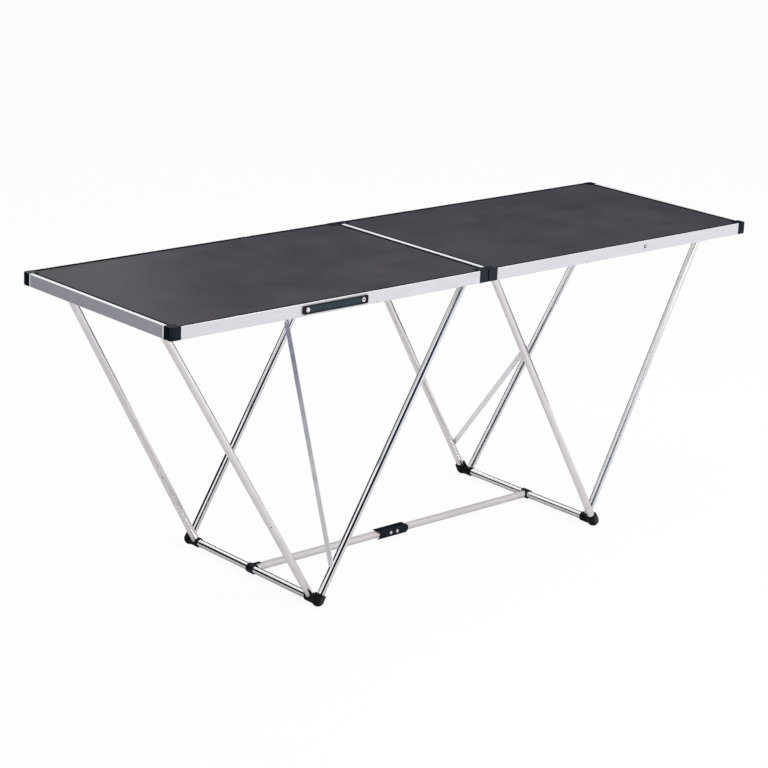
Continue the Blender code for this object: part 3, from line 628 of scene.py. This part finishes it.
links.new(reflection_and_tone_colour, shader.inputs["Base Color"])
links.new(between(nodes, links, flow, 0.34, 0.50), shader.inputs["Roughness"])
shader.inputs["Metallic"].default_value = 0.3
pebble(nodes, links, shader, cloud(nodes, links, place, 700.0, 2.0), 0.06, 0.0001)
for side, turn in (("left", 1), ("right", -1)):
    dress(f"{side}_brace", zinc, 0.0004)
    for end, x, y, z in BRACE_ENDS:
        name = f"{side}_brace_rivet_{end}"
        out = (BRACE_FACING.x * turn, 0, BRACE_FACING.z)
        turned(name, BRACE_RIVET, (x * turn, y * turn, z), out, bright, f"{side}_frame")

# Spreader: two satin tubes that fold in a black channel in the middle, on two rivets.
# A black clip at each end holds a base rail.
SATIN_DARK = (0.53, 0.50, 0.505, 1)
SATIN_LIGHT = (0.61, 0.58, 0.585, 1)

satin, nodes, links, shader, place = new_finish("satin_tube")
lines = cloud(nodes, links, place, 20.0, 5.0, (0.6, 30, 30))
links.new(tint(nodes, links, lines, SATIN_DARK, SATIN_LIGHT), shader.inputs["Base Color"])
links.new(between(nodes, links, lines, 0.50, 0.62), shader.inputs["Roughness"])
shader.inputs["Metallic"].default_value = 0.12
shader.inputs["Specular IOR Level"].default_value = 0.2
pebble(nodes, links, shader, lines, 0.05, 0.0001)
for side in ("left", "right"):
    dress(f"spreader_{side}_tube", satin, 0.0003)
    dress(f"spreader_{side}_clip", moulded, 0.0006)
    dress(f"sleeve_rivet_{side}", bright, 0.0004)
dress("spreader_sleeve", moulded, 0.0004)

# Rail saddle: a black moulded half shell over the right base rail, above the spreader's open clip.
# It shows the band that closes over the rail there, and stays on the rail when the table folds.
SADDLE_RAIL = Vector((0.4990, 0.0, 0.0155))
SADDLE_INNER = 0.0101
SADDLE_OUTER = 0.0130
SADDLE_HALF = 0.0130
SADDLE_FIRST = math.radians(-40)
SADDLE_LAST = math.radians(128)
SADDLE_ROUND = 0.0006
SHARP_ANGLE = math.radians(40)

bm = bmesh.new()
first_out = Vector((math.cos(SADDLE_FIRST), 0, math.sin(SADDLE_FIRST)))
lengthwise = Vector((0, SADDLE_HALF, 0))
corners = [
    SADDLE_RAIL + first_out * SADDLE_INNER - lengthwise,
    SADDLE_RAIL + first_out * SADDLE_OUTER - lengthwise,
    SADDLE_RAIL + first_out * SADDLE_OUTER + lengthwise,
    SADDLE_RAIL + first_out * SADDLE_INNER + lengthwise,
]
edge_face = bm.faces.new([bm.verts.new(corner) for corner in corners])
bmesh.ops.spin(
    bm,
    geom=[edge_face, *edge_face.edges, *edge_face.verts],
    cent=SADDLE_RAIL,
    axis=(0, -1, 0),
    angle=SADDLE_LAST - SADDLE_FIRST,
    steps=16,
)
bmesh.ops.recalc_face_normals(bm, faces=bm.faces)
sharp = [e for e in bm.edges if e.is_manifold and e.calc_face_angle() > SHARP_ANGLE]
bmesh.ops.bevel(bm, geom=sharp, offset=SADDLE_ROUND, affect="EDGES", segments=2, profile=0.5, material=-1)
mesh = bpy.data.meshes.new("rail_saddle")
bm.to_mesh(mesh)
bm.free()
for face in mesh.polygons:
    face.use_smooth = True
mesh.materials.append(moulded)
saddle = bpy.data.objects.new("rail_saddle", mesh)
bpy.context.scene.collection.objects.link(saddle)
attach(saddle, "right_frame")

# Studio: a wide pale floor, soft lamps and a light surround.
# Walls and mats that only mirrors see stand round the floor, for the bright tubes to reflect.
FLOOR_SIZE = 60.0
FLOOR_COLOUR = (0.92, 0.92, 0.92, 1)
FLOOR_LIFT = 0.92
WALLS = [("front", -140, -105, 4.0, 0.0, 3.0), ("rear", 68, 95, 4.0, 0.25, 1.8)]
WALLS += [("back", 95, 172, 2.6, 0.0, 1.6), ("right", -12, 65, 3.5, 0.0, 2.6)]
WALLS += [("blue", -105, -76, 4.0, 0.7, 1.6), ("low", -105, -76, 4.0, 0.0, 0.7)]
WALL_COLOUR = (0.006, 0.008, 0.015, 1)
BLUE_COLOUR = (0.045, 0.130, 0.260, 1)
GREY_COLOUR = (0.72, 0.69, 0.695, 1)
SHADE_COLOUR = (0.42, 0.42, 0.44, 1)
FLOOR_DROP = 0.0002
MAT_RISE = 0.001
SURROUND_COLOUR = (0.96, 0.98, 1.0, 1)
SURROUND_STRENGTH = 0.70


def seen_directly(nodes, links):
    """1 for what the camera, a mirror or glass shows, and 0 for light on the pieces."""
    path = nodes.new("ShaderNodeLightPath")
    mirrored = nodes.new("ShaderNodeMath")
    mirrored.operation = "MAXIMUM"
    links.new(path.outputs["Is Glossy Ray"], mirrored.inputs[0])
    links.new(path.outputs["Is Transmission Ray"], mirrored.inputs[1])
    shown = nodes.new("ShaderNodeMath")
    shown.operation = "MAXIMUM"
    links.new(path.outputs["Is Camera Ray"], shown.inputs[0])
    links.new(mirrored.outputs["Value"], shown.inputs[1])
    return shown.outputs["Value"]


bm = bmesh.new()
bmesh.ops.create_grid(bm, x_segments=1, y_segments=1, size=FLOOR_SIZE / 2)
bmesh.ops.translate(bm, verts=bm.verts, vec=(0, 0, -FLOOR_DROP))
mesh = bpy.data.meshes.new("floor")
bm.to_mesh(mesh)
bm.free()
floor = bpy.data.objects.new("floor", mesh)
bpy.context.scene.collection.objects.link(floor)
floor_paint, nodes, links, shader, place = new_finish("floor_paint")
shader.inputs["Base Color"].default_value = FLOOR_COLOUR
shader.inputs["Roughness"].default_value = 0.9
shader.inputs["Specular IOR Level"].default_value = 0.0
white = nodes.new("ShaderNodeEmission")
white.inputs["Color"].default_value = (1, 1, 1, 1)
white.inputs["Strength"].default_value = 1.0
share = nodes.new("ShaderNodeMath")
share.operation = "MULTIPLY"
share.inputs[1].default_value = FLOOR_LIFT
links.new(seen_directly(nodes, links), share.inputs[0])
lift = nodes.new("ShaderNodeMixShader")
links.new(share.outputs["Value"], lift.inputs["Fac"])
links.new(shader.outputs["BSDF"], lift.inputs[1])
links.new(white.outputs["Emission"], lift.inputs[2])
links.new(lift.outputs["Shader"], nodes["Material Output"].inputs["Surface"])
mesh.materials.append(floor_paint)


def flat_paint(name, colour):
    """Plain matt paint of one colour."""
    finish, nodes, links, shader, place = new_finish(name)
    shader.inputs["Base Color"].default_value = colour
    shader.inputs["Roughness"].default_value = 1.0
    shader.inputs["Specular IOR Level"].default_value = 0.0
    return finish


def show_in_mirrors(screen):
    """Hides a stage piece from everything but mirrors."""
    screen.visible_camera = False
    screen.visible_diffuse = False
    screen.visible_transmission = False
    screen.visible_shadow = False


wall_paint = flat_paint("wall_paint", WALL_COLOUR)
blue_paint = flat_paint("blue_paint", BLUE_COLOUR)
for where, first, last, radius, low, high in WALLS:
    bm = bmesh.new()
    start = (radius * math.cos(math.radians(first)), radius * math.sin(math.radians(first)))
    foot = bm.verts.new((*start, low))
    head = bm.verts.new((*start, high))
    edge = bm.edges.new((foot, head))
    sweep = math.radians(last - first)
    bmesh.ops.spin(bm, geom=[foot, head, edge], cent=(0, 0, 0), axis=(0, 0, 1), angle=sweep, steps=24)
    mesh = bpy.data.meshes.new(f"dark_wall_{where}")
    bm.to_mesh(mesh)
    bm.free()
    mesh.materials.append(blue_paint if where == "blue" else wall_paint)
    wall = bpy.data.objects.new(f"dark_wall_{where}", mesh)
    bpy.context.scene.collection.objects.link(wall)
    show_in_mirrors(wall)

grey_paint = flat_paint("grey_paint", GREY_COLOUR)
shade_paint = flat_paint("shade_paint", SHADE_COLOUR)
MATS = [("dark", -3.6, 2.4, 2.0, 2.0, wall_paint), ("grey", -0.2, -1.1, 1.7, 2.2, grey_paint)]
MATS += [("shade", 2.75, -2.2, 1.2, 1.1, shade_paint)]
for name, x, y, x_half, y_half, paint in MATS:
    bm = bmesh.new()
    bmesh.ops.create_grid(bm, x_segments=1, y_segments=1, size=1)
    bmesh.ops.scale(bm, verts=bm.verts, vec=(x_half, y_half, 1))
    bmesh.ops.translate(bm, verts=bm.verts, vec=(x, y, MAT_RISE))
    mesh = bpy.data.meshes.new(f"{name}_mat")
    bm.to_mesh(mesh)
    bm.free()
    mesh.materials.append(paint)
    mat = bpy.data.objects.new(f"{name}_mat", mesh)
    bpy.context.scene.collection.objects.link(mat)
    show_in_mirrors(mat)

world = bpy.data.worlds.new("studio")
bpy.context.scene.world = world
world.use_nodes = True
nodes = world.node_tree.nodes
links = world.node_tree.links
light = nodes["Background"]
light.inputs["Color"].default_value = SURROUND_COLOUR
light.inputs["Strength"].default_value = SURROUND_STRENGTH
backdrop = nodes.new("ShaderNodeBackground")
backdrop.inputs["Color"].default_value = (1, 1, 1, 1)
backdrop.inputs["Strength"].default_value = 1.0
choose = nodes.new("ShaderNodeMixShader")
links.new(seen_directly(nodes, links), choose.inputs["Fac"])
links.new(light.outputs["Background"], choose.inputs[1])
links.new(backdrop.outputs["Background"], choose.inputs[2])
links.new(choose.outputs["Shader"], nodes["World Output"].inputs["Surface"])

TABLE_MIDDLE = Vector((0, 0, 0.5))


def lamp(name, place, size, power):
    """A large square lamp turned to the middle of the table."""
    data = bpy.data.lights.new(name, "AREA")
    data.shape = "SQUARE"
    data.size = size
    data.energy = power
    obj = bpy.data.objects.new(name, data)
    bpy.context.scene.collection.objects.link(obj)
    turn = (Vector(place) - TABLE_MIDDLE).to_track_quat("Z", "Y")
    obj.matrix_world = Matrix.Translation(Vector(place)) @ turn.to_matrix().to_4x4()


lamp("key_lamp", (2.2, -4.2, 3.2), 2.5, 150)
lamp("top_lamp", (0.0, 0.5, 4.5), 3.0, 30)

# Camera: stands to the left of the front, well above the table, with a long lens and a slight tilt.
# It looks down at the table, so the whole top shows with the legs below it.
CAMERA_PLACE = Vector((-4.096, -4.411, 2.2775))
CAMERA_TURN = math.radians(42.403)
CAMERA_DIP = math.radians(17.103)
CAMERA_TILT = math.radians(2.628)
CAMERA_LENS = 110.74

look = Vector(
    (
        math.sin(CAMERA_TURN) * math.cos(CAMERA_DIP),
        math.cos(CAMERA_TURN) * math.cos(CAMERA_DIP),
        -math.sin(CAMERA_DIP),
    )
)
level = look.cross(Vector((0, 0, 1))).normalized()
upright = level.cross(look)
right = level * math.cos(CAMERA_TILT) + upright * math.sin(CAMERA_TILT)
up = upright * math.cos(CAMERA_TILT) - level * math.sin(CAMERA_TILT)
camera_facing = Matrix((right, up, -look)).transposed().to_4x4()
camera_data = bpy.data.cameras.new("camera")
camera_data.sensor_width = 36.0
camera_data.lens = CAMERA_LENS
camera_data.clip_end = 200.0
camera = bpy.data.objects.new("camera", camera_data)
bpy.context.scene.collection.objects.link(camera)
camera.matrix_world = Matrix.Translation(CAMERA_PLACE) @ camera_facing
bpy.context.scene.camera = camera
bpy.context.scene.view_settings.view_transform = "Standard"
